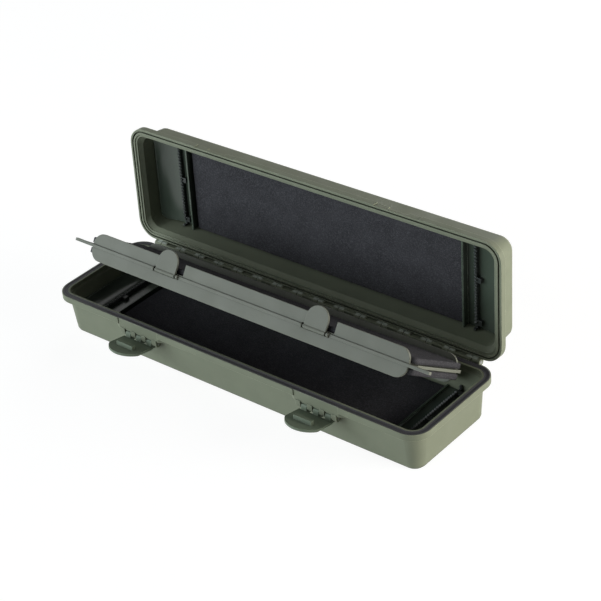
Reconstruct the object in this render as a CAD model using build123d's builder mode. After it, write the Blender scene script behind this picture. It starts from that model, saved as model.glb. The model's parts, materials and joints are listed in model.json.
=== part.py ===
from build123d import *
from dataclasses import dataclass
import math
import os

os.makedirs("parts", exist_ok=True)

# Fishing rig box, shown open as in the photograph. Millimetres and degrees throughout.
# +X runs along the box to its right end, +Y back to the hinge, +Z up.
# The origin is the middle of the base's underside.

# The two trays
length = 350.0
depth = 96.0
base_height = 36.0
lid_height = 27.0
corner_radius = 15.0
wall = 2.4
rim_band = 5.0
base_overhang = 4.8
base_corner_ease = 1.4
lid_overhang = 6.0
lid_corner_ease = 2.6
lip_width = 6.2
ledge_depth = 3.6
lid_lip_width = 4.4
lid_lip_depth = 0.8
lid_step_width = 6.3
lid_step_depth = 1.4
draft_angle = 5.0
edge_chamfer = 2.2
edge_easing = 0.9
parting_gap = 0.2

# Rim seal
outer_lip = 1.6
groove_width = 3.0
groove_depth = 2.2
lid_groove_width = 1.4
lid_groove_depth = 1.8
gasket_fit = 0.05
gasket_drop = 0.3

# Poses of the photograph
lid_open_angle = 92.3
leaf_open_angle = 33.7
latch_open_angle = 79.0

# Main hinge: knuckles of the base and the lid by turns, with a short lid knuckle at each end
hinge_offset = 2.5
hinge_pitch = 20.1
knuckle_radius = 2.8
knuckle_slit = 0.7
knuckle_flat_height = 1.8
knuckle_boss_width = 5.0
end_knuckle_width = 6.6
knuckle_clearance = 0.35
knuckle_root = 1.0
hinge_pin_radius = 1.2
pin_fit = 0.05
bore_sides = 8
barrel_sides = 12

# Front latches
latch_inset = 89.0
latch_axis_inset = 2.5
latch_axis_drop = 11.5
latch_barrel_radius = 2.6
latch_pin_radius = 1.0
latch_row = 37.0
latch_lugs = 4
latch_lug_width = 4.6
latch_side_gap = 0.6
latch_pad_top_width = 40.0
latch_pad_width = 60.0
latch_pocket_depth = 0.6
latch_plate_width = 30.0
latch_plate_thickness = 2.2
latch_plate_standoff = 0.3
latch_plate_side = 18.0
latch_plate_length = 27.0
latch_plate_foot = 2.4
latch_plate_corner = 3.5
latch_plate_chamfer = 0.5
latch_heel = 3.5
latch_heel_thickness = 2.0
hook_width = 16.0
hook_depth = 3.2
hook_height = 3.0
hook_clearance = 0.2
hook_side_gap = 0.8
hook_end_gap = 0.5
lid_shelf = 2.6

# End inserts, combs and foam in each tray: insets from the end, depths from the rim
fit = 0.3
insert_wall = 1.4
insert_edge_depth = 15.3
base_rib_inset = 39.6
base_rib_depth = 20.3
base_comb_inset = 27.0
base_comb_depth = 17.8
lid_rib_inset = 44.4
lid_rib_depth = 15.6
lid_comb_inset = 34.0
lid_comb_depth = 16.9
comb_thickness = 1.8
comb_height = 3.8
tooth_pitch = 2.7
tooth_height = 1.4
tooth_tip = 0.6
tooth_root = 2.7
comb_post_width = 1.3
comb_post_rise = 1.4
comb_lug_reach = 3.4
comb_lug_width = 4.0
comb_lug_height = 2.6
comb_lug_shares = (0.06, -0.86)
base_foam_drop = 2.0
lid_foam_drop = 3.6

# Middle leaf
leaf_axis_inset = 12.7
leaf_axis_drop = 1.5
leaf_barrel_radius = 2.4
leaf_barrel_width = 14.0
leaf_pin_radius = 1.0
leaf_hinge_inset = 65.0
leaf_ear_thickness = 2.4
leaf_ear_gap = 0.3
leaf_ear_drop = 5.0
leaf_thickness = 2.1
leaf_front_inset = 14.2
leaf_rib_proud = 1.0
leaf_tip_inset = 6.8
leaf_end_inset = 22.2
leaf_finger_width = 3.0
leaf_finger_fillet = 8.0
leaf_rear_gap = 3.4
leaf_tray_margin = 6.6
leaf_wall = 2.0
leaf_tray_floor = 1.0
leaf_tray_inset = 24.7
leaf_wall_rise = 9.7
leaf_rear_wall_rise = 9.5
leaf_wall_corner_share = 0.95
leaf_foam_thickness = 4.4
leaf_foam_overhang = 1.6
leaf_foam_fit = 0.3

# Finger tabs on the leaf
tab_inset = 103.5
tab_shift = -2.05
tab_width = 19.3
tab_height = 17.4
tab_thickness = 1.6
tab_barrel_radius = 1.6
tab_gap = 0.2
tab_ear_width = 1.6
tab_pocket_gap = 1.5
tab_pocket_depth = 1.4
tab_pocket_height = 3.8
tab_opening_width = 24.9
tab_opening_shift = 3.8
tab_trunnion_radius = 0.7
tab_barrel_sides = 10

overrun = 1.0

hinge_y = depth / 2 + hinge_offset
hinge_z = base_height
draft_slope = math.tan(math.radians(draft_angle))


def tipped(angle):
    """Unit vector that starts at +Z and leans back by an angle."""
    turn = math.radians(angle)
    return (0, math.sin(turn), math.cos(turn))


@dataclass
class Tray:
    """One half of the box. The rim plane's local Z points out of the tray."""

    name: str
    rim: Plane
    height: float
    rear: int
    overhang: float
    corner_ease: float
    rim_steps: tuple
    rib_x: float
    comb_x: float
    rib_depth: float
    comb_depth: float
    foam_drop: float

    @property
    def floor_depth(self):
        return self.height - wall

    def below(self, drop):
        return self.rim.offset(-drop)

    def inner_inset(self, drop):
        """How far the inner wall stands in from the rim's outer face, so far below the rim."""
        return self.overhang + wall + max(0, drop - rim_band) * draft_slope

    def across(self, x):
        """Plane square to the length at x: local X runs to the hinge, local Y out of the tray."""
        sideways = self.rim.y_dir * self.rear
        origin = self.rim.from_local_coords((x, 0, 0))
        return Plane(origin=origin, x_dir=sideways, z_dir=sideways.cross(self.rim.z_dir))

    def end_section(self, side):
        """Plane along the middle: local X runs out to one end, local Y out of the tray."""
        outward = self.rim.x_dir * side
        return Plane(origin=self.rim.origin, x_dir=outward, z_dir=outward.cross(self.rim.z_dir))


lid_frame = Plane(origin=(0, hinge_y, hinge_z), x_dir=(1, 0, 0), z_dir=tipped(lid_open_angle))
base_frame = Plane(origin=(0, hinge_y, hinge_z), x_dir=(1, 0, 0), z_dir=(0, 0, 1))
lid_rim_middle = lid_frame.from_local_coords((0, -hinge_y, parting_gap))

base_tray = Tray(
    name="base",
    rim=Plane(origin=(0, 0, base_height)),
    height=base_height,
    rear=1,
    overhang=base_overhang,
    corner_ease=base_corner_ease,
    rim_steps=((lip_width, ledge_depth),),
    rib_x=length / 2 - base_rib_inset,
    comb_x=length / 2 - base_comb_inset,
    rib_depth=base_rib_depth,
    comb_depth=base_comb_depth,
    foam_drop=base_foam_drop,
)
lid_tray = Tray(
    name="lid",
    rim=Plane(origin=lid_rim_middle, x_dir=(1, 0, 0), z_dir=-lid_frame.z_dir),
    height=lid_height,
    rear=-1,
    overhang=lid_overhang,
    corner_ease=lid_corner_ease,
    rim_steps=((lid_lip_width, lid_lip_depth), (lid_step_width, lid_step_depth)),
    rib_x=length / 2 - lid_rib_inset,
    comb_x=length / 2 - lid_comb_inset,
    rib_depth=lid_rib_depth,
    comb_depth=lid_comb_depth,
    foam_drop=lid_foam_drop,
)
trays = (base_tray, lid_tray)
sides = {"left": -1, "right": 1}


def outline(inset, mode=Mode.ADD, ease=0):
    RectangleRounded(
        length - 2 * inset, depth - 2 * inset, corner_radius - inset + ease, mode=mode
    )


def cavity(tray, clearance, mode):
    """The drafted hollow of a tray, drawn in by a clearance on every side."""
    with BuildSketch(tray.below(rim_band)) as mouth:
        outline(tray.inner_inset(rim_band) + clearance, ease=tray.corner_ease)
    extrude(
        mouth.sketch,
        amount=-(tray.floor_depth - rim_band - clearance),
        taper=draft_angle,
        mode=mode,
    )


def tray_body(builder, tray):
    """Flanged rim, drafted body and an underside edge rounded off in three flats."""
    inward = Axis(tray.rim.origin, tray.rim.z_dir)
    with BuildSketch(tray.rim) as band:
        outline(0)
    extrude(band.sketch, amount=-rim_band)
    with BuildSketch(tray.below(rim_band)) as shoulder:
        outline(tray.overhang, ease=tray.corner_ease)
    extrude(shoulder.sketch, amount=-(tray.height - rim_band), taper=draft_angle)
    underside = builder.faces().sort_by(inward)[0]
    chamfer(underside.edges(), edge_chamfer)
    lines = builder.edges().group_by(inward)
    chamfer([*lines[0], *lines[2]], edge_easing)


def tray_hollow(tray):
    """Steps of the lip, sloped ledge and drafted cavity."""
    for inset, drop in tray.rim_steps:
        with BuildSketch(tray.rim) as mouth:
            outline(inset)
        extrude(mouth.sketch, amount=-drop, mode=Mode.SUBTRACT)
    with BuildSketch(tray.below(drop)) as ledge:
        outline(inset)
    with BuildSketch(tray.below(rim_band)) as throat:
        outline(tray.inner_inset(rim_band), ease=tray.corner_ease)
    loft([ledge.sketch, throat.sketch], mode=Mode.SUBTRACT)
    cavity(tray, 0, Mode.SUBTRACT)


def rim_groove(tray, width, drop):
    with BuildSketch(tray.rim) as groove:
        outline(outer_lip)
        outline(outer_lip + width, mode=Mode.SUBTRACT)
    extrude(groove.sketch, amount=-drop, mode=Mode.SUBTRACT)


def cross_planes(frame, starts):
    """Planes square to the length: local X points back, local Y up in the frame."""
    return [
        Plane(origin=frame.from_local_coords((x, 0, 0)), x_dir=frame.y_dir, z_dir=frame.x_dir)
        for x in starts
    ]


def round_bar(frame, starts, radius, width):
    """Round bars about the frame's X axis, one from each start."""
    with BuildSketch(*cross_planes(frame, starts)) as disc:
        Circle(radius)
    extrude(disc.sketch, amount=width)


def barrel(frame, starts, radius, width):
    """Barrels with many flats about the frame's X axis, one from each start."""
    with BuildSketch(*cross_planes(frame, starts)) as profile:
        RegularPolygon(radius, barrel_sides)
    extrude(profile.sketch, amount=width)


def pin_bore(frame, start, radius, length):
    """Straight bore for a pin: flats that stand clear of it by the running fit."""
    with BuildSketch(*cross_planes(frame, [start])) as hole:
        RegularPolygon(radius + pin_fit, bore_sides, major_radius=False)
    extrude(hole.sketch, amount=length, mode=Mode.SUBTRACT)


def hinge_knuckles(frame, spans, arm_low, arm_high, side):
    """Barrels on the main hinge, each with an arm to its own rim and a flat towards the other."""
    reach = hinge_offset + knuckle_root
    for start, end in spans:
        with BuildSketch(*cross_planes(frame, [start])) as profile:
            RegularPolygon(knuckle_radius, barrel_sides)
            with Locations((-reach / 2, (arm_low + arm_high) / 2)):
                Rectangle(reach, arm_high - arm_low)
        extrude(profile.sketch, amount=end - start)
        relief = end - start - 2 * knuckle_boss_width
        if relief > 0:
            flat = knuckle_radius - knuckle_flat_height
            with BuildSketch(*cross_planes(frame, [start + knuckle_boss_width])) as notch:
                with Locations((0, side * (knuckle_flat_height + flat))):
                    Rectangle(2 * knuckle_radius, 2 * flat)
            extrude(notch.sketch, amount=relief, mode=Mode.SUBTRACT)


def rim_notches(frame, spans, side):
    """Straight notches in a tray's rear edge, where the other tray's knuckles turn."""
    reach = knuckle_radius + knuckle_clearance
    for start, end in spans:
        with BuildSketch(*cross_planes(frame, [start - knuckle_slit])) as notch:
            with Locations((-reach / 2, side * reach / 2)):
                Rectangle(reach, reach)
        extrude(notch.sketch, amount=end - start + 2 * knuckle_slit, mode=Mode.SUBTRACT)


# An even number of slits along the straight rear edge, so that both end knuckles are the lid's
straight_half = length / 2 - corner_radius - end_knuckle_width - knuckle_slit / 2
slit_pairs = int(straight_half / hinge_pitch + 1 / 2)
slits = [hinge_pitch * (i + 1 / 2) for i in range(-slit_pairs, slit_pairs)]
hinge_half = slits[-1] + knuckle_slit / 2 + end_knuckle_width
starts = [-hinge_half, *[slit + knuckle_slit / 2 for slit in slits]]
ends = [*[slit - knuckle_slit / 2 for slit in slits], hinge_half]
all_spans = list(zip(starts, ends))
lid_spans = all_spans[::2]
base_spans = all_spans[1::2]

latch_places = {name: side * (length / 2 - latch_inset) for name, side in sides.items()}
latch_axis_y = -(depth / 2 - latch_axis_inset)
latch_axis_height = base_height - latch_axis_drop
latch_gap_count = latch_lugs - 1
latch_knuckle_pitch = (latch_row - latch_lug_width) / latch_gap_count
latch_knuckle_width = latch_knuckle_pitch - latch_lug_width - 2 * latch_side_gap


def latch_frame(x, angle):
    """Frame on a latch's pin: local Z runs along the plate, local Y to its inner face."""
    turn = math.radians(angle)
    return Plane(
        origin=(x, latch_axis_y, latch_axis_height),
        x_dir=(1, 0, 0),
        z_dir=(0, -math.sin(turn), math.cos(turn)),
    )


def latch_bracket(x):
    """Tapered pad under the base's rim with the lugs that carry a latch's pin."""
    frame = latch_frame(x, 0)
    pad_top = base_height - rim_band
    pad_bottom = latch_axis_height + latch_barrel_radius + fit
    front = -(depth / 2 - latch_pocket_depth)
    back = -(depth / 2 - base_overhang - wall / 2)
    half_top, half_foot = latch_pad_top_width / 2, latch_pad_width / 2
    with BuildSketch(Plane.XY.offset(pad_bottom)) as pad:
        with BuildLine():
            Polyline(
                (x - half_foot, back), (x - half_top, front),
                (x + half_top, front), (x + half_foot, back), close=True,
            )
        make_face()
    extrude(pad.sketch, amount=pad_top - pad_bottom)
    lug_starts = [-latch_row / 2 + latch_knuckle_pitch * i for i in range(latch_lugs)]
    web = pad_bottom - latch_axis_height + overrun
    with BuildSketch(*cross_planes(frame, lug_starts)) as lug:
        RegularPolygon(latch_barrel_radius, barrel_sides)
        with Locations((0, web / 2)):
            Rectangle(2 * latch_barrel_radius, web)
    extrude(lug.sketch, amount=latch_lug_width)
    pin_bore(frame, -latch_row / 2, latch_pin_radius, latch_row)


def latch_pockets(tray):
    """Shallow pockets in the rim's front face for the latch plates."""
    front = -tray.rear * depth / 2
    with BuildSketch(tray.rim) as pockets:
        with Locations(*[(x, front) for x in latch_places.values()]):
            Rectangle(latch_pad_top_width, 2 * latch_pocket_depth)
    extrude(pockets.sketch, amount=-rim_band, mode=Mode.SUBTRACT)


# The leaf's outline, from its axis, and its frames in the box and in the base
leaf_front = depth - leaf_axis_inset - leaf_front_inset
leaf_tip_x = length / 2 - leaf_tip_inset
leaf_end_x = length / 2 - leaf_end_inset
leaf_tray_x = length / 2 - leaf_tray_inset
leaf_wall_spacing = leaf_front - leaf_tray_margin
leaf_axis_y = depth / 2 - leaf_axis_inset
leaf_hinge_x = length / 2 - leaf_hinge_inset
leaf_axis = (0, leaf_axis_y, base_height - leaf_axis_drop)
leaf_frame = Plane(origin=leaf_axis, x_dir=(1, 0, 0), z_dir=tipped(leaf_open_angle))
leaf_rest = Plane(origin=leaf_axis, x_dir=(1, 0, 0), z_dir=(0, 0, 1))
barrel_starts = [s * leaf_hinge_x - leaf_barrel_width / 2 for s in sides.values()]
ear_starts = [
    s * leaf_hinge_x + offset
    for s in sides.values()
    for offset in (
        -leaf_barrel_width / 2 - leaf_ear_gap - leaf_ear_thickness,
        leaf_barrel_width / 2 + leaf_ear_gap,
    )
]
leaf_pin_length = leaf_barrel_width + 2 * (leaf_ear_gap + leaf_ear_thickness)
leaf_pin_starts = [s * leaf_hinge_x - leaf_pin_length / 2 for s in sides.values()]


def leaf_ears():
    """Ears on the base's rear wall that carry the leaf's pins."""
    reach = leaf_axis_inset - base_tray.inner_inset(rim_band) + wall / 2
    with BuildSketch(*cross_planes(leaf_rest, ear_starts)) as ear:
        RegularPolygon(leaf_barrel_radius, barrel_sides)
        with BuildLine():
            Polyline(
                (0, 0), (reach, 0), (reach, -leaf_ear_drop - reach),
                (-leaf_barrel_radius, 0), close=True,
            )
        make_face()
        with Locations((reach / 2, -leaf_barrel_radius / 2)):
            Rectangle(reach, leaf_barrel_radius)
    extrude(ear.sketch, amount=leaf_ear_thickness)
    for start in leaf_pin_starts:
        pin_bore(leaf_rest, start, leaf_pin_radius, leaf_pin_length)


# Base shell: tray, hinge knuckles, latch brackets and the leaf's ears
with BuildPart() as base_shell:
    tray_body(base_shell, base_tray)
    hinge_knuckles(base_frame, base_spans, -knuckle_radius, 0, 1)
    for x in latch_places.values():
        latch_bracket(x)
    tray_hollow(base_tray)
    leaf_ears()
    latch_pockets(base_tray)
    rim_groove(base_tray, groove_width, groove_depth)
    rim_notches(base_frame, lid_spans, -1)
    pin_bore(base_frame, -hinge_half, hinge_pin_radius, 2 * hinge_half)
base_shell.part.label = "base_shell"
export_step(base_shell.part, "parts/base_shell.step")

# Lid shell: tray, split knuckles and the shelves that the latch hooks catch
with BuildPart() as lid_shell:
    tray_body(lid_shell, lid_tray)
    hinge_knuckles(lid_frame, lid_spans, parting_gap, knuckle_radius, -1)
    tray_hollow(lid_tray)
    latch_pockets(lid_tray)
    with BuildSketch(lid_tray.below(lid_shelf)) as shelves:
        shelf_cut = 2 * (hook_depth + hook_end_gap)
        with Locations(*[(x, -lid_tray.rear * depth / 2) for x in latch_places.values()]):
            Rectangle(hook_width + 2 * hook_side_gap, shelf_cut)
    extrude(shelves.sketch, amount=-(rim_band - lid_shelf), mode=Mode.SUBTRACT)
    rim_groove(lid_tray, lid_groove_width, lid_groove_depth)
    rim_notches(lid_frame, base_spans, 1)
    pin_bore(lid_frame, -hinge_half, hinge_pin_radius, 2 * hinge_half)
lid_shell.part.label = "lid_shell"
export_step(lid_shell.part, "parts/lid_shell.step")

# Steel pin through every knuckle
with BuildPart() as hinge_pin:
    round_bar(base_frame, [-hinge_half], hinge_pin_radius, 2 * hinge_half)
hinge_pin.part.label = "hinge_pin"
export_step(hinge_pin.part, "parts/hinge_pin.step")

# Rubber seal in the base's rim groove
with BuildPart() as rim_gasket:
    with BuildSketch(base_tray.below(groove_depth)):
        outline(outer_lip + gasket_fit)
        outline(outer_lip + groove_width - gasket_fit, mode=Mode.SUBTRACT)
    extrude(amount=groove_depth - gasket_drop)
rim_gasket.part.label = "rim_gasket"
export_step(rim_gasket.part, "parts/rim_gasket.step")


def end_insert(tray, side):
    """Moulded liner of one end: curved ramp, channel and the rib that holds the foam."""
    foot = tray.comb_depth + comb_height
    top = (length / 2 - tray.inner_inset(insert_edge_depth) - insert_wall, -insert_edge_depth)
    bottom = (tray.comb_x + comb_thickness / 2 + comb_lug_reach + fit, -foot)
    rise, run = top[1] - bottom[1], top[0] - bottom[0]
    radius = (run**2 + rise**2) / (2 * rise)
    sweep = math.atan2(run, radius - rise)
    under = radius + insert_wall
    turned = (math.sin(sweep), -math.cos(sweep))
    centre = (bottom[0], bottom[1] + radius)
    under_end = (centre[0] + under * turned[0], centre[1] + under * turned[1])
    floor = -tray.floor_depth
    web = bottom[0] + insert_wall
    rib_foot = tray.rib_x + insert_wall
    with BuildSketch(tray.end_section(side)) as profile:
        with BuildLine():
            RadiusArc(top, bottom, radius)
            Polyline(
                bottom, (rib_foot, -foot), (rib_foot, -tray.rib_depth),
                (tray.rib_x, -tray.rib_depth), (tray.rib_x, floor), (rib_foot, floor),
                (rib_foot, -foot - insert_wall), (bottom[0], -foot - insert_wall),
                (bottom[0], floor), (web, floor), (web, -foot - insert_wall),
            )
            RadiusArc((web, -foot - insert_wall), under_end, -under)
            Polyline(
                under_end, (top[0] + insert_wall, under_end[1]), (top[0] + insert_wall, top[1]), top
            )
        make_face()
    half = depth / 2
    extrude(profile.sketch, amount=half, both=True)
    cavity(tray, fit, Mode.INTERSECT)


def comb(tray, side):
    """Toothed strip that the hook pins sit in, with end posts and two clips."""
    foot = tray.comb_depth + comb_height
    half = depth / 2 - tray.inner_inset(foot) - fit
    post_inner = half - comb_post_width
    post_top = comb_post_rise - tray.comb_depth
    root = -tray.comb_depth - tooth_height
    count = int(2 * (post_inner - tooth_root) / tooth_pitch)
    with BuildSketch(tray.across(side * tray.comb_x)) as blade:
        with BuildLine():
            Polyline(
                (-post_inner, root), (-post_inner, post_top), (-half, post_top), (-half, -foot),
                (half, -foot), (half, post_top), (post_inner, post_top), (post_inner, root),
                close=True,
            )
        make_face()
        with BuildLine():
            Polyline(
                (-tooth_root / 2, root), (-tooth_tip / 2, -tray.comb_depth),
                (tooth_tip / 2, -tray.comb_depth), (tooth_root / 2, root), close=True,
            )
        tooth = make_face(mode=Mode.PRIVATE)
        with Locations(*[(tooth_pitch * (i - (count - 1) / 2), 0) for i in range(count)]):
            add(tooth)
    extrude(blade.sketch, amount=comb_thickness / 2, both=True)
    lug_middle = side * tray.comb_x + (comb_thickness + comb_lug_reach) / 2
    with BuildSketch(tray.below(foot)) as lugs:
        for share in comb_lug_shares:
            with Locations((lug_middle, -tray.rear * half * share)):
                Rectangle(comb_lug_reach, comb_lug_width)
    extrude(lugs.sketch, amount=comb_lug_height)


for tray in trays:
    for name, side in sides.items():
        with BuildPart() as insert:
            end_insert(tray, side)
        insert.part.label = f"{tray.name}_end_insert_{name}"
        export_step(insert.part, f"parts/{insert.part.label}.step")

        with BuildPart() as rack:
            comb(tray, side)
        rack.part.label = f"{tray.name}_comb_{name}"
        export_step(rack.part, f"parts/{rack.part.label}.step")


def tray_foam(tray):
    """Foam pad between the ribs."""
    half = tray.rib_x - insert_wall - fit
    top = tray.rib_depth + tray.foam_drop
    with BuildSketch(tray.below(top)) as pad:
        Rectangle(2 * half, depth)
    extrude(pad.sketch, amount=-(tray.floor_depth - top))
    cavity(tray, fit, Mode.INTERSECT)


for tray in trays:
    with BuildPart() as foam:
        tray_foam(tray)
    foam.part.label = f"{tray.name}_foam"
    export_step(foam.part, f"parts/{foam.part.label}.step")


# Latches: plate, catch hook, heel and hinge barrels, moulded in one
plate_inner = -(latch_axis_inset + latch_plate_standoff)
plate_outer = plate_inner - latch_plate_thickness
hook_foot = base_height + parting_gap + lid_shelf + hook_clearance - latch_axis_height
knuckle_starts = [
    -latch_row / 2 + latch_lug_width + latch_side_gap + latch_knuckle_pitch * i
    for i in range(latch_gap_count)
]
for name, x in latch_places.items():
    frame = latch_frame(x, latch_open_angle)
    face = Plane(
        origin=frame.from_local_coords((0, plate_outer, 0)),
        x_dir=frame.x_dir,
        z_dir=-frame.y_dir,
    )
    with BuildPart() as latch:
        half = latch_plate_width / 2
        with BuildSketch(face) as plate:
            with BuildLine():
                Polyline(
                    (-half, latch_plate_side), (-half, latch_plate_foot),
                    (half, latch_plate_foot), (half, latch_plate_side),
                )
                ThreePointArc(
                    (half, latch_plate_side), (0, latch_plate_length), (-half, latch_plate_side)
                )
            make_face()
            fillet(plate.vertices().group_by(Axis.Y)[1], latch_plate_corner)
        extrude(plate.sketch, amount=-latch_plate_thickness)
        outer_face = latch.faces().sort_by(Axis(face.origin, face.z_dir))[-1]
        chamfer(outer_face.edges(), latch_plate_chamfer)
        with BuildSketch(*cross_planes(frame, knuckle_starts)) as knuckles:
            RegularPolygon(latch_barrel_radius, barrel_sides)
            with BuildLine():
                Polyline(
                    (0, latch_barrel_radius), (plate_inner, latch_barrel_radius),
                    (plate_outer, latch_barrel_radius), (plate_outer, -latch_heel),
                    (plate_outer + latch_heel_thickness, -latch_heel),
                    (0, -latch_barrel_radius), close=True,
                )
            make_face()
        extrude(knuckles.sketch, amount=latch_knuckle_width)
        hook_plane = Plane(
            origin=frame.from_local_coords((0, plate_inner, hook_foot)),
            x_dir=frame.x_dir,
            z_dir=frame.z_dir,
        )
        with BuildSketch(hook_plane) as hook:
            with Locations((0, (hook_depth - latch_plate_thickness / 2) / 2)):
                Rectangle(hook_width, hook_depth + latch_plate_thickness / 2)
        extrude(hook.sketch, amount=hook_height)
        pin_bore(frame, -latch_row / 2, latch_pin_radius, latch_row)
    latch.part.label = f"latch_{name}"
    export_step(latch.part, f"parts/{latch.part.label}.step")

    with BuildPart() as latch_pin:
        round_bar(frame, [-latch_row / 2], latch_pin_radius, latch_row)
    latch_pin.part.label = f"latch_pin_{name}"
    export_step(latch_pin.part, f"parts/{latch_pin.part.label}.step")


# Middle leaf: core plate with a finger at each front corner, hinge barrels and the tabs' ears
tab_places = {name: side * (length / 2 - tab_inset) + tab_shift for name, side in sides.items()}
pocket_width = tab_width + 2 * tab_pocket_gap
tab_axis_y = -(leaf_front + tab_gap + tab_thickness / 2)
tab_axis_frame = Plane(
    origin=leaf_frame.from_local_coords((0, tab_axis_y, 0)),
    x_dir=leaf_frame.x_dir,
    z_dir=leaf_frame.z_dir,
)


def tab_pockets(width):
    """Pockets in the leaf's front for the barrels of the finger tabs."""
    with BuildSketch(leaf_frame.offset(-tab_pocket_height / 2)) as pockets:
        with Locations(*[(x, -leaf_front) for x in tab_places.values()]):
            Rectangle(width, 2 * tab_pocket_depth)
    extrude(pockets.sketch, amount=tab_pocket_height, mode=Mode.SUBTRACT)


with BuildPart() as leaf_plate:
    front_edge = -(leaf_front + leaf_rib_proud)
    finger_back = front_edge + leaf_finger_width
    with BuildSketch(leaf_frame.offset(-leaf_thickness / 2)) as core:
        with BuildLine():
            Polyline(
                (-leaf_tip_x, front_edge), (leaf_tip_x, front_edge), (leaf_tip_x, finger_back),
                (leaf_end_x, finger_back), (leaf_end_x, -leaf_rear_gap),
                (-leaf_end_x, -leaf_rear_gap), (-leaf_end_x, finger_back),
                (-leaf_tip_x, finger_back), close=True,
            )
        make_face()
        roots = core.vertices().group_by(Axis.Y)[1].sort_by(Axis.X)[1:-1]
        fillet(roots, leaf_finger_fillet)
        with Locations(*[(s * leaf_hinge_x, -leaf_rear_gap / 2) for s in sides.values()]):
            Rectangle(leaf_barrel_width, leaf_rear_gap + 2 * overrun)
    extrude(core.sketch, amount=leaf_thickness)
    tab_pockets(pocket_width)
    barrel(leaf_frame, barrel_starts, leaf_barrel_radius, leaf_barrel_width)
    tab_ear_starts = [
        x + offset
        for x in tab_places.values()
        for offset in (-pocket_width / 2 - tab_ear_width, pocket_width / 2)
    ]
    barrel(tab_axis_frame, tab_ear_starts, tab_barrel_radius, tab_ear_width)
    for start in tab_ear_starts:
        pin_bore(tab_axis_frame, start, tab_trunnion_radius, tab_ear_width)
    for start in barrel_starts:
        pin_bore(leaf_frame, start, leaf_pin_radius, leaf_barrel_width)
leaf_plate.part.label = "leaf_plate"
export_step(leaf_plate.part, "parts/leaf_plate.step")


def leaf_side(up):
    """Frame on one face of the leaf's plate, with local Z away from the plate."""
    return Plane(
        origin=leaf_frame.from_local_coords((0, 0, up * leaf_thickness / 2)),
        x_dir=leaf_frame.x_dir * up,
        z_dir=leaf_frame.z_dir * up,
    )


for name, up in {"upper": 1, "lower": -1}.items():
    face = leaf_side(up)
    wall_places = (
        -leaf_front + leaf_wall / 2,
        -leaf_front + leaf_wall_spacing + leaf_wall / 2,
    )
    with BuildPart() as leaf_tray:
        with BuildSketch(face) as floor:
            with Locations((0, sum(wall_places) / 2)):
                Rectangle(2 * leaf_tray_x, leaf_wall_spacing + leaf_wall)
        extrude(floor.sketch, amount=leaf_tray_floor)
        for place, rise in zip(wall_places, (leaf_wall_rise, leaf_rear_wall_rise)):
            upright = Plane(
                origin=face.from_local_coords((0, place, 0)),
                x_dir=face.x_dir,
                z_dir=face.x_dir.cross(face.z_dir),
            )
            with BuildSketch(upright) as flange:
                with Locations((0, rise / 2)):
                    Rectangle(2 * leaf_tray_x, rise)
                fillet(flange.vertices().group_by(Axis.Y)[-1], rise * leaf_wall_corner_share)
            extrude(flange.sketch, amount=leaf_wall / 2, both=True)
        tab_pockets(pocket_width + 2 * tab_ear_width)
        if up > 0:
            with BuildSketch(face.offset(leaf_tray_floor)) as openings:
                with Locations(
                    *[(x + tab_opening_shift, wall_places[0]) for x in tab_places.values()]
                ):
                    Rectangle(tab_opening_width, 2 * leaf_wall)
            extrude(openings.sketch, amount=leaf_wall_rise, mode=Mode.SUBTRACT)
    leaf_tray.part.label = f"leaf_{name}_tray"
    export_step(leaf_tray.part, f"parts/{leaf_tray.part.label}.step")

    with BuildPart() as leaf_foam:
        foam_width = leaf_wall_spacing - leaf_wall - 2 * leaf_foam_fit
        with BuildSketch(face.offset(leaf_tray_floor)) as pad:
            with Locations((0, sum(wall_places) / 2)):
                Rectangle(2 * (leaf_tray_x + leaf_foam_overhang), foam_width)
        extrude(pad.sketch, amount=leaf_foam_thickness)
    leaf_foam.part.label = f"leaf_{name}_foam"
    export_step(leaf_foam.part, f"parts/{leaf_foam.part.label}.step")

for name, side in sides.items():
    with BuildPart() as leaf_pin:
        start = side * leaf_hinge_x - leaf_pin_length / 2
        round_bar(leaf_rest, [start], leaf_pin_radius, leaf_pin_length)
    leaf_pin.part.label = f"leaf_pin_{name}"
    export_step(leaf_pin.part, f"parts/{leaf_pin.part.label}.step")

# Finger tabs: a rounded flap on a ridged barrel, with a moulded trunnion at each end
for name, x in tab_places.items():
    start = x - tab_width / 2
    crown = tab_width / 2
    shoulder = tab_height - crown
    flap_plane = Plane(
        origin=tab_axis_frame.from_local_coords((x, -tab_thickness / 2, 0)),
        x_dir=leaf_frame.x_dir,
        z_dir=-leaf_frame.y_dir,
    )
    with BuildPart() as tab:
        with BuildSketch(flap_plane) as flap:
            with BuildLine():
                Polyline((-crown, shoulder), (-crown, 0), (crown, 0), (crown, shoulder))
                ThreePointArc((crown, shoulder), (0, tab_height), (-crown, shoulder))
            make_face()
        extrude(flap.sketch, amount=-tab_thickness)
        with BuildSketch(*cross_planes(tab_axis_frame, [start])) as ridged:
            RegularPolygon(tab_barrel_radius, tab_barrel_sides)
        extrude(ridged.sketch, amount=tab_width)
        trunnion = pocket_width / 2 + tab_ear_width
        barrel(tab_axis_frame, [x - trunnion], tab_trunnion_radius, 2 * trunnion)
    tab.part.label = f"finger_tab_{name}"
    export_step(tab.part, f"parts/{tab.part.label}.step")
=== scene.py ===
import json
import math

import bmesh
import bpy
from mathutils import Matrix, Vector, noise


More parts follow.
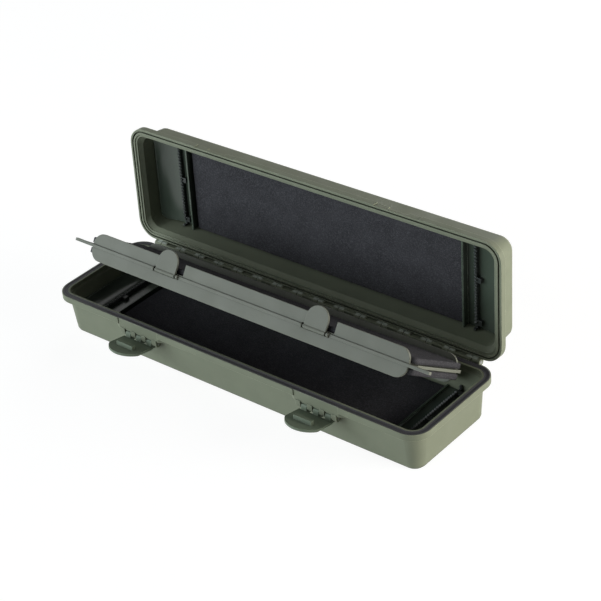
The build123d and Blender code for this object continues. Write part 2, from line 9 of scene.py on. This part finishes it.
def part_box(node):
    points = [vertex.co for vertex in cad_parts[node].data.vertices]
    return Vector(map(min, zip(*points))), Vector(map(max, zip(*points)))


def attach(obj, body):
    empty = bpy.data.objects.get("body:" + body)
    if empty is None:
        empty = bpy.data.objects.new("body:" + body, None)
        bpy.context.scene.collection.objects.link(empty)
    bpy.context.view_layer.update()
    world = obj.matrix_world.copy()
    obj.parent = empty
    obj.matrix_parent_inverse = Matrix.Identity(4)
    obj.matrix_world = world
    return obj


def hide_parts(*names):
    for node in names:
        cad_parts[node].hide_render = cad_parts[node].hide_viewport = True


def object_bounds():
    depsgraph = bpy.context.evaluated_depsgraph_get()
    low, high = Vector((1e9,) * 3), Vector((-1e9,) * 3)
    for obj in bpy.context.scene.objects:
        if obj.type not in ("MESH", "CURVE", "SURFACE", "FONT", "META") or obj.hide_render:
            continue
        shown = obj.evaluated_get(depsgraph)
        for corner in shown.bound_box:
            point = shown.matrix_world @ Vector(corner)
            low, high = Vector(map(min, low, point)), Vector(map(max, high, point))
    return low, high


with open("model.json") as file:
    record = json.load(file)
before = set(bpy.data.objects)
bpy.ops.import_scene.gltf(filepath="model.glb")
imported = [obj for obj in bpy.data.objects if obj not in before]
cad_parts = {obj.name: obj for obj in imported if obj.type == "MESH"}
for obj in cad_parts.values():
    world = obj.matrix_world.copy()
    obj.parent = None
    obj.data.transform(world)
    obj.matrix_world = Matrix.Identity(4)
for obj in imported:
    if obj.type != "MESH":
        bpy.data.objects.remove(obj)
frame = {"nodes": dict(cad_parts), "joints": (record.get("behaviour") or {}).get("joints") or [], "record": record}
cad_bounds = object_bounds()
nodes = frame["nodes"]
joints = {joint["name"]: joint for joint in frame["joints"]}

# Colours, linear
SHELL_GREEN = (0.205, 0.222, 0.158)
LEAF_GREEN = (0.176, 0.182, 0.150)
LATCH_GREEN = (0.152, 0.185, 0.132)
# The inserts' green: the shell's olive plastic darkened with painted shade of their deep channels
INSERT_SHADED_GREEN = (0.066, 0.084, 0.064)
# Near-black comb: painted shade standing for its shaded faces
COMB_SHADED_BLACK = (0.030, 0.034, 0.032)
FOAM_BLACK = (0.043, 0.0415, 0.046)
FOAM_SPECK = (0.145, 0.141, 0.154)
GASKET_BLACK = (0.015, 0.0145, 0.017)
PIN_STEEL = (0.42, 0.42, 0.41)
# Painted highlight colour for the lid hinge's knuckles
HINGE_HIGHLIGHT_GREEN = (0.45, 0.48, 0.42)
FLOOR_WHITE = (0.80, 0.80, 0.79)
FLOOR_SHADOW = (0.22, 0.22, 0.22)
WARM_LIGHT = (1.0, 0.98, 0.92)
COOL_LIGHT = (0.87, 0.96, 1.0)
BACK_LIGHT = (0.96, 1.0, 1.0)

# The floor's own glow to the camera, its side in metres, and the world's level
FLOOR_GLOW = 0.90
FLOOR_SIDE = 12.0
WORLD_LEVEL = 0.03

# Camera at the photograph's place, fitted to the box's corners
CAMERA_PLACE = Vector((0.7988557, -0.8275472, 0.7832388))
CAMERA_LOOK = Vector((-0.5725760, 0.6226631, -0.5333361))
CAMERA_UP = Vector((-0.2863815, 0.4576483, 0.8417504))
CAMERA_LENS = 111.597
CAMERA_SENSOR = 36.0
CAMERA_NEAR = 0.05
CAMERA_FAR = 50.0

MM = 0.001

# Foam pads: rounding of the cut edges, crown, and how far the face sinks before it swells
PAD_EDGE = 0.9 * MM
PAD_CROWN = 0.35 * MM
LEAF_PAD_EDGE = 0.7 * MM
LEAF_PAD_CROWN = 0.25 * MM
PAD_SINK = 0.25 * MM

# How far the leaf's foam swells out at its cut ends
LEAF_FOAM_REACH = 1.3 * MM

# Uneven cut of the foam: height and scale of its waves and of its fuzz
CUT_WAVE = 0.22 * MM
CUT_WAVE_SCALE = 90.0
CUT_FUZZ = 0.06 * MM
CUT_FUZZ_SCALE = 420.0

# Foam mesh: cells along X, Y and Z, steps round an edge, and the reach of a level
PAD_CELLS = (4.0 * MM, 4.0 * MM, 3.0 * MM)
PAD_EDGE_STEPS = 4
LEVEL_REACH = 0.02 * MM

# The seal's section and corner, and the steps of its corners, runs and dished crown
SEAL_WIDTH = 2.9 * MM
SEAL_CORNER = 13.35 * MM
SEAL_ARC_STEPS = 12
SEAL_RUN_STEPS = 40
SEAL_CROWN_STEPS = 6
WELD_REACH = 1e-6

# The rim's ends lie beyond this share of the box's length from the middle
RIM_END_SHARE = 0.49

# The seal's thin lips, which lie on the rim beside its groove
SEAL_LIP_OUT = 0.90 * MM
SEAL_LIP_IN = 0.20 * MM
SEAL_LIP_RISE = 0.15 * MM
SEAL_SINK = 0.05 * MM
SEAL_DISH = 0.5 * MM

# Reach of the painted shade in crevices
CREVICE_REACH = 4.0 * MM

# Painted highlight on the lid hinge's knuckles: pale on their crowns near each place where two of them meet
HINGE_PITCH = 20.1 * MM
HINGE_REACH = 3.3 * MM
HINGE_HIGHLIGHT_WIDTH = 4.6 * MM
HINGE_CROWN = 2.4 * MM
HINGE_PHASE = 0.5
HINGE_FADE = 0.2 * MM
HINGE_CROWN_FADE = 0.3 * MM

# Scales of the noise on moulded plastic: mottling, rubbed patches and smudges
MOTTLE_SCALE = 34.0
PATCH_SCALE = 160.0
SMUDGE_SCALE = 55.0

# Scales of the foam's cut cells, clouds and flecks, and the depth of a cell
CELL_SCALE = 1500.0
CLOUD_SCALE = 60.0
FLECK_SCALE = 900.0
CELL_DEPTH = 0.25 * MM

# Scales of the seal's dust and grain, the grain's depth, and the streaks along a drawn pin
DUST_SCALE = 240.0
RUBBER_GRAIN_SCALE = 2600.0
RUBBER_GRAIN_DEPTH = 0.03 * MM
STREAK_SCALE = (60.0, 4000.0, 4000.0)

# Rays for the rounded edges and for the painted shade in crevices
BEVEL_SAMPLES = 6
OCCLUSION_SAMPLES = 6


def new_material(name):
    material = bpy.data.materials.new(name)
    material.use_nodes = True
    tree = material.node_tree
    return material, tree, tree.nodes["Principled BSDF"]


def link(tree, source, output, target, socket):
    tree.links.new(source.outputs[output], target.inputs[socket])


def colour_output(node):
    """A node's colour output; a Mix node has outputs of the same name for other kinds."""
    return [socket for socket in node.outputs if socket.type == "RGBA"][0]


def noise_node(tree, coords, scale, detail=2.0, roughness=0.5):
    node = tree.nodes.new("ShaderNodeTexNoise")
    node.inputs["Scale"].default_value = scale
    node.inputs["Detail"].default_value = detail
    node.inputs["Roughness"].default_value = roughness
    link(tree, coords, "Object", node, "Vector")
    return node


def ramp_node(tree, source, output, stops):
    """Colour ramp over a value: stops are (place, colour) pairs."""
    node = tree.nodes.new("ShaderNodeValToRGB")
    elements = node.color_ramp.elements
    while len(elements) < len(stops):
        elements.new(0.5)
    for element, (place, colour) in zip(elements, stops):
        element.position = place
        element.color = (*colour, 1.0)
    link(tree, source, output, node, "Fac")
    return node


def range_node(tree, source, output, low, high, from_low=0.0, from_high=1.0):
    node = tree.nodes.new("ShaderNodeMapRange")
    node.inputs["From Min"].default_value = from_low
    node.inputs["From Max"].default_value = from_high
    node.inputs["To Min"].default_value = low
    node.inputs["To Max"].default_value = high
    link(tree, source, output, node, "Value")
    return node


def shade(colour, factor):
    return tuple(channel * factor for channel in colour)


def edge_mask(tree, radius, low, high):
    """White where a surface turns within the radius, black on flat ground.

    The bevel node, with the rounded normal, comes first.
    """
    bevel = tree.nodes.new("ShaderNodeBevel")
    bevel.samples = BEVEL_SAMPLES
    bevel.inputs["Radius"].default_value = radius
    geometry = tree.nodes.new("ShaderNodeNewGeometry")
    dot = tree.nodes.new("ShaderNodeVectorMath")
    dot.operation = "DOT_PRODUCT"
    link(tree, bevel, "Normal", dot, 0)
    tree.links.new(geometry.outputs["Normal"], dot.inputs[1])
    return bevel, range_node(tree, dot, "Value", 1.0, 0.0, low, high)


def bump_node(tree, height, output, strength, distance, normal=None):
    node = tree.nodes.new("ShaderNodeBump")
    node.inputs["Strength"].default_value = strength
    node.inputs["Distance"].default_value = distance
    link(tree, height, output, node, "Height")
    if normal is not None:
        link(tree, normal, "Normal", node, "Normal")
    return node


def mix_colour(tree, fac, fac_output, first, second):
    """Mix of two colours; each is a colour tuple or a node with a Color output."""
    node = tree.nodes.new("ShaderNodeMix")
    node.data_type = "RGBA"
    link(tree, fac, fac_output, node, "Factor")
    for socket, value in (("A", first), ("B", second)):
        target = [
            entry for entry in node.inputs if entry.name == socket and entry.type == "RGBA"
        ][0]
        if isinstance(value, tuple):
            target.default_value = (*value, 1.0)
        else:
            tree.links.new(colour_output(value), target)
    return node


def math_node(tree, operation, source, output, value=0.0):
    node = tree.nodes.new("ShaderNodeMath")
    node.operation = operation
    link(tree, source, output, node, 0)
    node.inputs[1].default_value = value
    return node


def hinge_highlight_mask(tree, coords):
    """Painted highlight: white on the crowns of the lid hinge's knuckles near each place where two of them meet.
    """
    axis = joints["lid_hinge"]["pos_m"]
    across = tree.nodes.new("ShaderNodeVectorMath")
    across.operation = "MULTIPLY"
    across.inputs[1].default_value = (0.0, 1.0, 1.0)
    link(tree, coords, "Object", across, 0)
    reach = tree.nodes.new("ShaderNodeVectorMath")
    reach.operation = "DISTANCE"
    reach.inputs[1].default_value = (0.0, axis[1], axis[2])
    link(tree, across, "Vector", reach, 0)
    near = range_node(tree, reach, "Value", 1.0, 0.0, HINGE_REACH - HINGE_FADE,
                      HINGE_REACH)
    split = tree.nodes.new("ShaderNodeSeparateXYZ")
    link(tree, coords, "Object", split, "Vector")
    turns = math_node(tree, "MULTIPLY", split, "X", 1.0 / HINGE_PITCH)
    turns = math_node(tree, "ADD", turns, "Value", HINGE_PHASE)
    gap = math_node(tree, "PINGPONG", turns, "Value", 0.5)
    half = HINGE_HIGHLIGHT_WIDTH / HINGE_PITCH
    band = range_node(tree, gap, "Value", 1.0, 0.0, 0.85 * half, 1.1 * half)
    crown = range_node(tree, split, "Z", 0.0, 1.0, axis[2] + HINGE_CROWN - HINGE_CROWN_FADE,
                       axis[2] + HINGE_CROWN)
    highlight_part = product(tree, near, "Result", band, "Result")
    return product(tree, highlight_part, "Value", crown, "Result")


def product(tree, first, first_output, second, second_output):
    node = math_node(tree, "MULTIPLY", first, first_output)
    link(tree, second, second_output, node, 1)
    return node


def occlusion_node(tree, reach):
    """Ambient occlusion: one in the open, zero where surfaces close in within the reach."""
    node = tree.nodes.new("ShaderNodeAmbientOcclusion")
    node.samples = OCCLUSION_SAMPLES
    node.inputs["Distance"].default_value = reach
    return node


def moulded_plastic(name, colour, rough, grain_mm, grain_depth_mm, edge_mm, edge_highlight, specular=0.24,
                    painted_crevice_shade=0.45, proud_from=0.30, hinge_highlight=False):
    """Satin moulded plastic: slight mottling, fine grain, painted shade in crevices, painted highlights on open
    edges.
    """
    material, tree, shader = new_material(name)
    coords = tree.nodes.new("ShaderNodeTexCoord")
    mottle = noise_node(tree, coords, MOTTLE_SCALE, 4.0, 0.6)
    tint = ramp_node(tree, mottle, "Fac", [
        (0.30, shade(colour, 0.93)),
        (0.55, colour),
        (0.75, shade(colour, 1.06)),
    ])
    # Painted shade: the colour darkens where surfaces close in, in crevices and inner corners
    close = occlusion_node(tree, CREVICE_REACH)
    crevice = range_node(tree, close, "AO", 0.0, 1.0, 0.25, 0.9)
    coloured = mix_colour(tree, crevice, "Result", shade(colour, painted_crevice_shade), tint)
    # Painted highlight: open edges turn paler, in patches, where light would catch them
    bevel, mask = edge_mask(tree, edge_mm * MM, 0.80, 0.995)
    patchy = noise_node(tree, coords, PATCH_SCALE, 3.0, 0.6)
    patches = range_node(tree, patchy, "Fac", 0.35, 1.0, 0.35, 0.65)
    proud = range_node(tree, close, "AO", 0.0, 1.0, proud_from, proud_from + 0.30)
    highlight_part = product(tree, mask, "Result", patches, "Result")
    painted_highlight = product(tree, highlight_part, "Value", proud, "Result")
    highlight_colour = tuple(min(1.0, channel * edge_highlight) for channel in colour)
    coloured = mix_colour(tree, painted_highlight, "Value", coloured, highlight_colour)
    # Painted highlight on the hinge knuckles' crowns
    if hinge_highlight:
        coloured = mix_colour(tree, hinge_highlight_mask(tree, coords), "Value", coloured, HINGE_HIGHLIGHT_GREEN)
    tree.links.new(colour_output(coloured), shader.inputs["Base Color"])
    grain = noise_node(tree, coords, 1.0 / (grain_mm * MM), 2.0, 0.55)
    bump = bump_node(tree, grain, "Fac", 0.6, grain_depth_mm * MM, bevel)
    link(tree, bump, "Normal", shader, "Normal")
    smudge = noise_node(tree, coords, SMUDGE_SCALE, 3.0, 0.5)
    dull = range_node(tree, smudge, "Fac", rough - 0.05, rough + 0.07, 0.3, 0.7)
    link(tree, dull, "Result", shader, "Roughness")
    shader.inputs["Specular IOR Level"].default_value = specular
    return material


def closed_cell_foam():
    """Near-black foam: fine cells, pale specks of cut cell walls, almost no gloss."""
    material, tree, shader = new_material("foam_black")
    coords = tree.nodes.new("ShaderNodeTexCoord")
    cells = tree.nodes.new("ShaderNodeTexVoronoi")
    cells.inputs["Scale"].default_value = CELL_SCALE
    link(tree, coords, "Object", cells, "Vector")
    cloud = noise_node(tree, coords, CLOUD_SCALE, 3.0, 0.6)
    base = ramp_node(tree, cloud, "Fac", [
        (0.32, shade(FOAM_BLACK, 0.85)),
        (0.70, shade(FOAM_BLACK, 1.2)),
    ])
    specks = range_node(tree, cells, "Distance", 0.75, 0.0, 0.05, 0.30)
    coloured = mix_colour(tree, specks, "Result", base, FOAM_SPECK)
    flecks = noise_node(tree, coords, FLECK_SCALE, 2.0, 0.7)
    fleck_level = range_node(tree, flecks, "Fac", 0.0, 0.30, 0.48, 0.66)
    coloured = mix_colour(tree, fleck_level, "Result", coloured, FOAM_SPECK)
    tree.links.new(colour_output(coloured), shader.inputs["Base Color"])
    bump = bump_node(tree, cells, "Distance", 0.7, CELL_DEPTH)
    link(tree, bump, "Normal", shader, "Normal")
    link(tree, range_node(tree, cloud, "Fac", 0.88, 0.98), "Result", shader, "Roughness")
    shader.inputs["Specular IOR Level"].default_value = 0.10
    return material


def seal_rubber():
    """Black rubber with a little dust on it."""
    material, tree, shader = new_material("seal_rubber")
    coords = tree.nodes.new("ShaderNodeTexCoord")
    dust = noise_node(tree, coords, DUST_SCALE, 4.0, 0.65)
    tint = ramp_node(tree, dust, "Fac", [
        (0.40, GASKET_BLACK),
        (0.75, shade(GASKET_BLACK, 1.7)),
    ])
    link(tree, tint, "Color", shader, "Base Color")
    link(tree, range_node(tree, dust, "Fac", 0.55, 0.8), "Result", shader, "Roughness")
    grain = noise_node(tree, coords, RUBBER_GRAIN_SCALE)
    bump = bump_node(tree, grain, "Fac", 0.4, RUBBER_GRAIN_DEPTH)
    link(tree, bump, "Normal", shader, "Normal")
    return material


def drawn_steel():
    """Drawn wire: streaks along the pin."""
    material, tree, shader = new_material("drawn_steel")
    coords = tree.nodes.new("ShaderNodeTexCoord")
    stretch = tree.nodes.new("ShaderNodeMapping")
    stretch.inputs["Scale"].default_value = STREAK_SCALE
    link(tree, coords, "Object", stretch, "Vector")
    streaks = tree.nodes.new("ShaderNodeTexNoise")
    streaks.inputs["Scale"].default_value = 1.0
    link(tree, stretch, "Vector", streaks, "Vector")
    tint = ramp_node(tree, streaks, "Fac", [
        (0.3, shade(PIN_STEEL, 0.8)),
        (0.7, PIN_STEEL),
    ])
    link(tree, tint, "Color", shader, "Base Color")
    link(tree, range_node(tree, streaks, "Fac", 0.28, 0.45), "Result", shader, "Roughness")
    shader.inputs["Metallic"].default_value = 1.0
    return material


# Each plastic's painted edge highlight and painted crevice shade are set in its call below
shell_plastic = moulded_plastic(
    "shell_plastic", SHELL_GREEN, rough=0.56, grain_mm=0.45, grain_depth_mm=0.05,
    edge_mm=0.6, edge_highlight=2.3, hinge_highlight=True)
leaf_plastic = moulded_plastic(
    "leaf_plastic", LEAF_GREEN, rough=0.54, grain_mm=0.40, grain_depth_mm=0.04,
    edge_mm=0.5, edge_highlight=1.9)
latch_plastic = moulded_plastic(
    "latch_plastic", LATCH_GREEN, rough=0.54, grain_mm=0.45, grain_depth_mm=0.05,
    edge_mm=0.5, edge_highlight=2.4)
insert_plastic = moulded_plastic(
    "insert_plastic", INSERT_SHADED_GREEN, rough=0.20, grain_mm=0.35, grain_depth_mm=0.01,
    edge_mm=0.8, edge_highlight=4.5, specular=0.5, painted_crevice_shade=0.7, proud_from=0.0)
comb_plastic = moulded_plastic(
    "comb_plastic", COMB_SHADED_BLACK, rough=0.36, grain_mm=0.35, grain_depth_mm=0.02,
    edge_mm=0.35, edge_highlight=7.0, specular=0.35, proud_from=0.1)
foam_black = closed_cell_foam()
rubber_black = seal_rubber()
pin_steel = drawn_steel()

NODE_MATERIALS = {
    "shell": shell_plastic,
    "leaf": leaf_plastic,
    "latch": latch_plastic,
    "insert": insert_plastic,
    "comb": comb_plastic,
    "foam": foam_black,
    "gasket": rubber_black,
    "pin_steel": pin_steel,
}
slot_of = {part["node"]: part["material_slot"] for part in frame["record"]["subparts"]}
for name, node in nodes.items():
    node.data.materials.clear()
    node.data.materials.append(NODE_MATERIALS[slot_of[name]])


def open_frame(joint_name):
    """Matrix from a hinged body's own frame to the box: Z leans back by the joint's opening."""
    joint = joints[joint_name]
    place = Vector(joint["pos_m"])
    opening = math.radians(-joint["range_deg"][0])
    return Matrix.Translation(place) @ Matrix.Rotation(-opening, 4, "X")


def local_corners(node, matrix):
    """A node's points in a body's own frame, with the low and high corner of their box."""
    inverse = matrix.inverted()
    points = [inverse @ v.co for v in node.data.vertices]
    low = Vector(min(p[i] for p in points) for i in range(3))
    high = Vector(max(p[i] for p in points) for i in range(3))
    return points, low, high


def foam_pad(name, body, matrix, out, edge_radius, swell, seed, end_reach=0.0):
    """Foam pad cut to its CAD block: soft rounded edges, slight crown and uneven cut faces."""
    points, low, high = local_corners(nodes[name], matrix)
    low.x -= end_reach
    high.x += end_reach
    size = high - low
    face_level = high.z if out > 0 else low.z
    back_level = low.z if out > 0 else high.z
    widths = {}
    for level in (face_level, back_level):
        near = [p.y for p in points if abs(p.z - level) < LEVEL_REACH]
        widths[level] = (min(near), max(near))
    bm = bmesh.new()
    bmesh.ops.create_cube(bm, size=1.0)
    for vert in bm.verts:
        vert.co = Vector((vert.co.x * size.x, vert.co.y * size.y, vert.co.z * size.z))
    face_edges = [e for e in bm.edges if all(v.co.z * out > 0 for v in e.verts)]
    bmesh.ops.bevel(bm, geom=face_edges, offset=edge_radius, segments=PAD_EDGE_STEPS, profile=0.5,
                    affect="EDGES")
    for axis, cell in enumerate(PAD_CELLS):
        long_edges = [
            e for e in bm.edges
            if abs(e.verts[0].co[axis] - e.verts[1].co[axis]) > 0.9 * e.calc_length() > cell
        ]
        cuts = max(1, int(size[axis] / cell))
        bmesh.ops.subdivide_edges(bm, edges=long_edges, cuts=cuts, use_grid_fill=True)
    for vert in bm.verts:
        x, y, z = vert.co
        share = min(1.0, max(0.0, z * out / size.z + 0.5))
        y_low = widths[back_level][0] + share * (widths[face_level][0] - widths[back_level][0])
        y_high = widths[back_level][1] + share * (widths[face_level][1] - widths[back_level][1])
        edge_x = 1 - abs(2 * x / size.x) ** 6
        edge_y = 1 - abs(2 * y / size.y) ** 4
        wave = noise.noise(Vector((x, y, z)) * CUT_WAVE_SCALE + Vector((seed, 0, 0)))
        fuzz = noise.noise(Vector((x, y, z)) * CUT_FUZZ_SCALE + Vector((0, seed, 0)))
        lift = share * (swell * edge_x * edge_y + CUT_WAVE * wave + CUT_FUZZ * fuzz)
        vert.co = Vector((
            (low.x + high.x) / 2 + x,
            y_low + (y / size.y + 0.5) * (y_high - y_low),
            (low.z + high.z) / 2 + z + out * (lift - PAD_SINK * share),
        ))
    bmesh.ops.recalc_face_normals(bm, faces=bm.faces)
    mesh = bpy.data.meshes.new(name + "_pad")
    bm.to_mesh(mesh)
    bm.free()
    mesh.transform(matrix)
    for polygon in mesh.polygons:
        polygon.use_smooth = True
    pad = bpy.data.objects.new(name + "_pad", mesh)
    bpy.context.scene.collection.objects.link(pad)
    pad.data.materials.append(foam_black)
    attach(pad, body)
    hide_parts(name)
    return pad


base_matrix = Matrix.Identity(4)
lid_matrix = open_frame("lid_hinge")
leaf_matrix = open_frame("leaf_hinge")
foam_pad("base_foam", "base", base_matrix, 1, PAD_EDGE, PAD_CROWN, 3.1)
foam_pad("lid_foam", "lid", lid_matrix, -1, PAD_EDGE, PAD_CROWN, 7.7)
foam_pad("leaf_upper_foam", "leaf", leaf_matrix, 1, LEAF_PAD_EDGE, LEAF_PAD_CROWN, 12.3,
         LEAF_FOAM_REACH)
foam_pad("leaf_lower_foam", "leaf", leaf_matrix, -1, LEAF_PAD_EDGE, LEAF_PAD_CROWN, 18.9,
         LEAF_FOAM_REACH)


def rounded_path(half_x, half_y, radius, arc_steps, run_steps):
    """Points and outward directions round a rounded rectangle."""
    path = []
    corners = ((1, 1, 0), (-1, 1, 90), (-1, -1, 180), (1, -1, 270))
    for i, (sx, sy, start) in enumerate(corners):
        centre = Vector((sx * (half_x - radius), sy * (half_y - radius)))
        for step in range(arc_steps + 1):
            turn = math.radians(start + 90 * step / arc_steps)
            outward = Vector((math.cos(turn), math.sin(turn)))
            path.append((centre + radius * outward, outward))
        nx, ny, following = corners[(i + 1) % 4]
        ahead = math.radians(following)
        outward = Vector((math.cos(ahead), math.sin(ahead)))
        finish = Vector((nx * (half_x - radius), ny * (half_y - radius))) + radius * outward
        begin = path[-1][0]
        for step in range(1, run_steps):
            path.append((begin.lerp(finish, step / run_steps), outward))
    return path


def seal_bead():
    """Rubber seal in the base's rim groove: dished crown, a thin lip on the rim at each side."""
    low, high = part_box("rim_gasket")
    rim_end = RIM_END_SHARE * (cad_bounds[1][0] - cad_bounds[0][0])
    shell_points = [vert.co for vert in nodes["base_shell"].data.vertices]
    rim = max(point.z for point in shell_points if abs(point.x) > rim_end)
    half = SEAL_WIDTH / 2
    half_x = (high.x - low.x) / 2 - half
    half_y = (high.y - low.y) / 2 - half
    path = rounded_path(half_x, half_y, SEAL_CORNER - half, SEAL_ARC_STEPS, SEAL_RUN_STEPS)
    lip_foot, lip_top = rim - SEAL_SINK, rim + SEAL_LIP_RISE
    inner, outer = -half - SEAL_LIP_IN, half + SEAL_LIP_OUT
    profile = [
        (-half, low.z), (-half, lip_foot), (inner, lip_foot), (inner, lip_top), (-half, lip_top),
    ]
    for step in range(1, SEAL_CROWN_STEPS):
        turn = math.pi * (1 - step / SEAL_CROWN_STEPS)
        profile.append((half * math.cos(turn), lip_top - SEAL_DISH * math.sin(turn)))
    profile += [
        (half, lip_top), (outer, lip_top), (outer, lip_foot), (half, lip_foot), (half, low.z),
    ]
    bm = bmesh.new()
    rings = []
    for place, outward in path:
        rings.append([
            bm.verts.new((place.x + outward.x * across, place.y + outward.y * across, up))
            for across, up in profile
        ])
    for ring, following in zip(rings, rings[1:] + rings[:1]):
        for i in range(len(profile)):
            j = (i + 1) % len(profile)
            bm.faces.new((ring[i], following[i], following[j], ring[j]))
    bmesh.ops.remove_doubles(bm, verts=bm.verts, dist=WELD_REACH)
    bmesh.ops.recalc_face_normals(bm, faces=bm.faces)
    mesh = bpy.data.meshes.new("rim_seal")
    bm.to_mesh(mesh)
    bm.free()
    for polygon in mesh.polygons:
        polygon.use_smooth = True
    seal = bpy.data.objects.new("rim_seal", mesh)
    bpy.context.scene.collection.objects.link(seal)
    seal.data.materials.append(rubber_black)
    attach(seal, "base")
    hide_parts("rim_gasket")


seal_bead()


def background_ray(tree):
    """One where the background is looked at, by the camera or in glass or gloss."""
    paths = tree.nodes.new("ShaderNodeLightPath")
    seen = None
    for name in ("Is Camera Ray", "Is Transmission Ray", "Is Glossy Ray"):
        step = tree.nodes.new("ShaderNodeMath")
        step.operation = "MAXIMUM"
        step.inputs[1].default_value = 0.0
        link(tree, paths, name, step, 0)
        if seen is not None:
            link(tree, seen, "Value", step, 1)
        seen = step
    return seen


def studio_floor():
    """Pale floor: white to the camera, plain to the light, with the object's soft shadow."""
    bpy.ops.mesh.primitive_plane_add(size=FLOOR_SIDE, location=(0, 0, 0))
    floor = bpy.context.object
    floor.name = "studio_floor"
    material, tree, shader = new_material("floor_white")
    tree.nodes.remove(shader)
    output = tree.nodes["Material Output"]
    plain = tree.nodes.new("ShaderNodeBsdfDiffuse")
    plain.inputs["Color"].default_value = (*FLOOR_WHITE, 1.0)
    shadow = tree.nodes.new("ShaderNodeBsdfDiffuse")
    shadow.inputs["Color"].default_value = (*FLOOR_SHADOW, 1.0)
    glow = tree.nodes.new("ShaderNodeEmission")
    glow.inputs["Strength"].default_value = FLOOR_GLOW
    lit = tree.nodes.new("ShaderNodeAddShader")
    link(tree, shadow, "BSDF", lit, 0)
    link(tree, glow, "Emission", lit, 1)
    seen = background_ray(tree)
    mix = tree.nodes.new("ShaderNodeMixShader")
    link(tree, seen, "Value", mix, "Fac")
    link(tree, plain, "BSDF", mix, 1)
    link(tree, lit, "Shader", mix, 2)
    link(tree, mix, "Shader", output, "Surface")
    floor.data.materials.append(material)


def studio_world(strength):
    """White to the camera, and a faint even light on the object."""
    world = bpy.data.worlds.new("studio")
    bpy.context.scene.world = world
    world.use_nodes = True
    tree = world.node_tree
    background = tree.nodes["Background"]
    background.inputs["Color"].default_value = (1.0, 1.0, 1.0, 1.0)
    seen = background_ray(tree)
    level = range_node(tree, seen, "Value", strength, 1.0)
    link(tree, level, "Result", background, "Strength")


def softbox(name, place, target, width, height, power, colour):
    """Rectangular lamp at a place, aimed at a target."""
    data = bpy.data.lights.new(name, "AREA")
    data.shape = "RECTANGLE"
    data.size = width
    data.size_y = height
    data.energy = power
    data.color = colour
    lamp = bpy.data.objects.new(name, data)
    bpy.context.scene.collection.objects.link(lamp)
    lamp.location = place
    aim = Vector(target) - Vector(place)
    lamp.rotation_euler = aim.to_track_quat("-Z", "Y").to_euler()


studio_floor()
studio_world(WORLD_LEVEL)
softbox("key_right", (1.35, 0.46, 0.34), (0, 0.05, 0.05), 0.9, 0.7, 23.0, WARM_LIGHT)
softbox("front_low", (-0.80, -1.80, 0.45), (0, 0, 0.05), 1.2, 0.9, 19.0, COOL_LIGHT)
softbox("left_front", (-1.5, -1.0, 0.5), (0, 0, 0.05), 1.0, 1.0, 17.0, COOL_LIGHT)
softbox("back_soft", (-0.3, 2.0, 0.6), (0, 0.05, 0.05), 1.4, 0.9, 13.0, BACK_LIGHT)


def photo_camera():
    data = bpy.data.cameras.new("photo_camera")
    data.lens = CAMERA_LENS
    data.sensor_width = CAMERA_SENSOR
    data.clip_start = CAMERA_NEAR
    data.clip_end = CAMERA_FAR
    camera = bpy.data.objects.new("photo_camera", data)
    bpy.context.scene.collection.objects.link(camera)
    look = CAMERA_LOOK.normalized()
    right = look.cross(CAMERA_UP).normalized()
    up = right.cross(look)
    rotation = Matrix((right, up, -look)).transposed().to_4x4()
    camera.matrix_world = Matrix.Translation(CAMERA_PLACE) @ rotation
    bpy.context.scene.camera = camera


photo_camera()
bpy.context.scene.view_settings.view_transform = "Standard"
